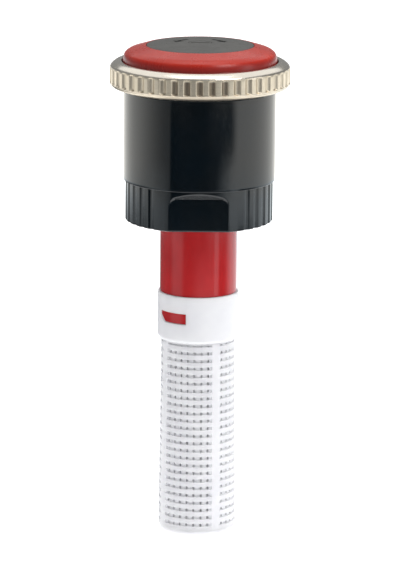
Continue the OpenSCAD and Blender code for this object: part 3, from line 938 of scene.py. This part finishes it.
def stage_mesh(name, verts, faces, material):
    """An object of the stage, from points in millimetres."""
    mesh = bpy.data.meshes.new(name)
    mesh.from_pydata([tuple(c * MM for c in v) for v in verts], [], faces)
    mesh.materials.append(material)
    obj = bpy.data.objects.new(name, mesh)
    scene.collection.objects.link(obj)
    return obj


def area_light(name, place, target, width, height, power):
    data = bpy.data.lights.new(name, "AREA")
    data.shape = "RECTANGLE"
    data.size, data.size_y = width * MM, height * MM
    data.energy = power
    obj = bpy.data.objects.new(name, data)
    obj.location = Vector(place) * MM
    obj.rotation_euler = (Vector(target) - Vector(place)).to_track_quat("-Z", "Y").to_euler()
    scene.collection.objects.link(obj)


def sheen_glow(s, turn, far):
    """How bright the sheet is by direction (degrees, right is +) and distance (mm)."""
    dark_patch_reach = 410, 440
    # Painted reflection, bright on the left, up to the edge of the dark patch
    left_edge = s.spread(far, *dark_patch_reach, -44, -16)
    left = s.times(
        s.spread(turn, -105, -44, 1.75, 0.4),
        s.spread(far, 205, 285),
        s.spread(s.math("SUBTRACT", turn, left_edge), -1.5, 1.5, 1.0, 0.0),
    )
    # Painted reflection, bright on the right, with an edge that runs away from the part
    right_edge = s.times(s.math("SUBTRACT", far, 190.0), 0.43)
    right_edge = s.math("MINIMUM", right_edge, s.spread(far, *dark_patch_reach, 54, 20))
    right = s.spread(s.math("SUBTRACT", turn, right_edge), -8, 8, 0.0, 1.75)
    right = s.times(right, s.spread(far, 232, 240))
    # Close to the part: a stripe, the right-hand side and a patch in front
    stripe = s.times(s.spread(turn, 46, 50), s.spread(turn, 60, 64, 1.0, 0.0))
    front = s.times(s.spread(turn, -30, 10), s.spread(turn, 44, 60, 1.0, 0.0))
    near = s.plus(
        s.times(stripe, 1.1),
        s.spread(turn, 80, 112, 0.1, 1.6),
        s.times(front, s.spread(far, 160, 222, 0.7, 0.0)),
    )
    near = s.times(near, s.spread(far, 232, 240, 1.0, 0.0))
    # A weaker patch on the left, mirrored only by the foot
    foot = s.times(
        s.spread(turn, -56, -40, 0.7, 0.0),
        s.spread(turn, -95, -75, 0.1, 1.0),
        s.spread(far, 262, 285, 1.0, 0.0),
    )
    return s.plus(left, right, near, foot)


def sheen_sheet():
    """A painted reflection of the floor, seen only by the glossy parts: a glowing sheet, bright,
    with a dark patch in front.
    """
    s = Shader("sheen_floor", Roughness=1.0, Base_Color=(0, 0, 0, 1), Specular_IOR_Level=0.0)
    x, y, _ = s.axes()
    turn = s.times(s.math("ARCTAN2", x, s.times(y, -1.0)), 180 / math.pi)
    far = s.math("SQRT", s.plus(s.times(x, x), s.times(y, y)))
    # Painted reflection colour: bluish near the part, warm further out.
    tint = s.blend(s.spread(far, 262, 280), (0.88, 0.96, 1.0), (1.0, 0.99, 0.94))
    s.feed(s.bsdf.inputs["Emission Color"], tint)
    s.feed(s.bsdf.inputs["Emission Strength"], sheen_glow(s, turn, far))
    inner, outer, z = 110, 560, FILTER_BOTTOM + 0.4
    verts, faces = lathe([(inner, z), (outer, z)], 64, False)
    sheet = stage_mesh("sheen_sheet", verts, faces, s.material)
    # Seen only in glossy reflections, so the sheet is a painted reflection.
    for ray in ("camera", "diffuse", "shadow", "transmission"):
        setattr(sheet, "visible_" + ray, False)


def studio():
    """Pale floor low enough for the pulled-off filter, pale sky and soft lights."""
    reach, floor_z = 6000, FILTER_BOTTOM - 12.5
    corners = [(-reach, -reach), (reach, -reach), (reach, reach), (-reach, reach)]
    floor = [(x, y, floor_z) for x, y in corners]
    pale = plain_material("floor_white", (0.9, 0.9, 0.9), 0.85)
    stage_mesh("floor", floor, [[0, 1, 2, 3]], pale)
    # A painted reflection, seen only in the glossy parts.
    sheen_sheet()
    world = bpy.data.worlds.new("studio")
    world.use_nodes = True
    sky = world.node_tree.nodes["Background"]
    sky.inputs["Color"].default_value = (0.97, 0.99, 1.0, 1)
    sky.inputs["Strength"].default_value = 0.3
    scene.world = world
    area_light("key", (330, -330, 420), (0, 0, 0), 260, 260, 1.3)
    area_light("strip", (580, -155, 130), (0, 0, 22), 170, 240, 0.3)
    area_light("top", (0, -40, 700), (0, 0, 0), 460, 460, 1.0)
    area_light("canopy", (0, 260, 720), (0, 60, 0), 1500, 1500, 6.0)


def camera():
    """A long lens in front of the part, looking down a little."""
    look_down, roll = math.radians(12.55), math.radians(0.45)
    data = bpy.data.cameras.new("camera")
    data.sensor_width = 36
    data.lens = 246.4
    data.clip_start = 0.01
    data.clip_end = 50
    obj = bpy.data.objects.new("camera", data)
    obj.location = (0.00024, -0.56, 0.1147)
    obj.rotation_mode = "ZXY"
    obj.rotation_euler = (math.pi / 2 - look_down, 0, roll)
    scene.collection.objects.link(obj)
    scene.camera = obj


def build():
    scene.view_settings.view_transform = "Standard"
    housing()
    arc_ring()
    dome()
    top_disc()
    adjuster()
    stem()
    filter_pieces()
    distributor()
    nozzle_insert()
    shaft()
    spring()
    dress_kept_nodes()
    studio()
    camera()


build()
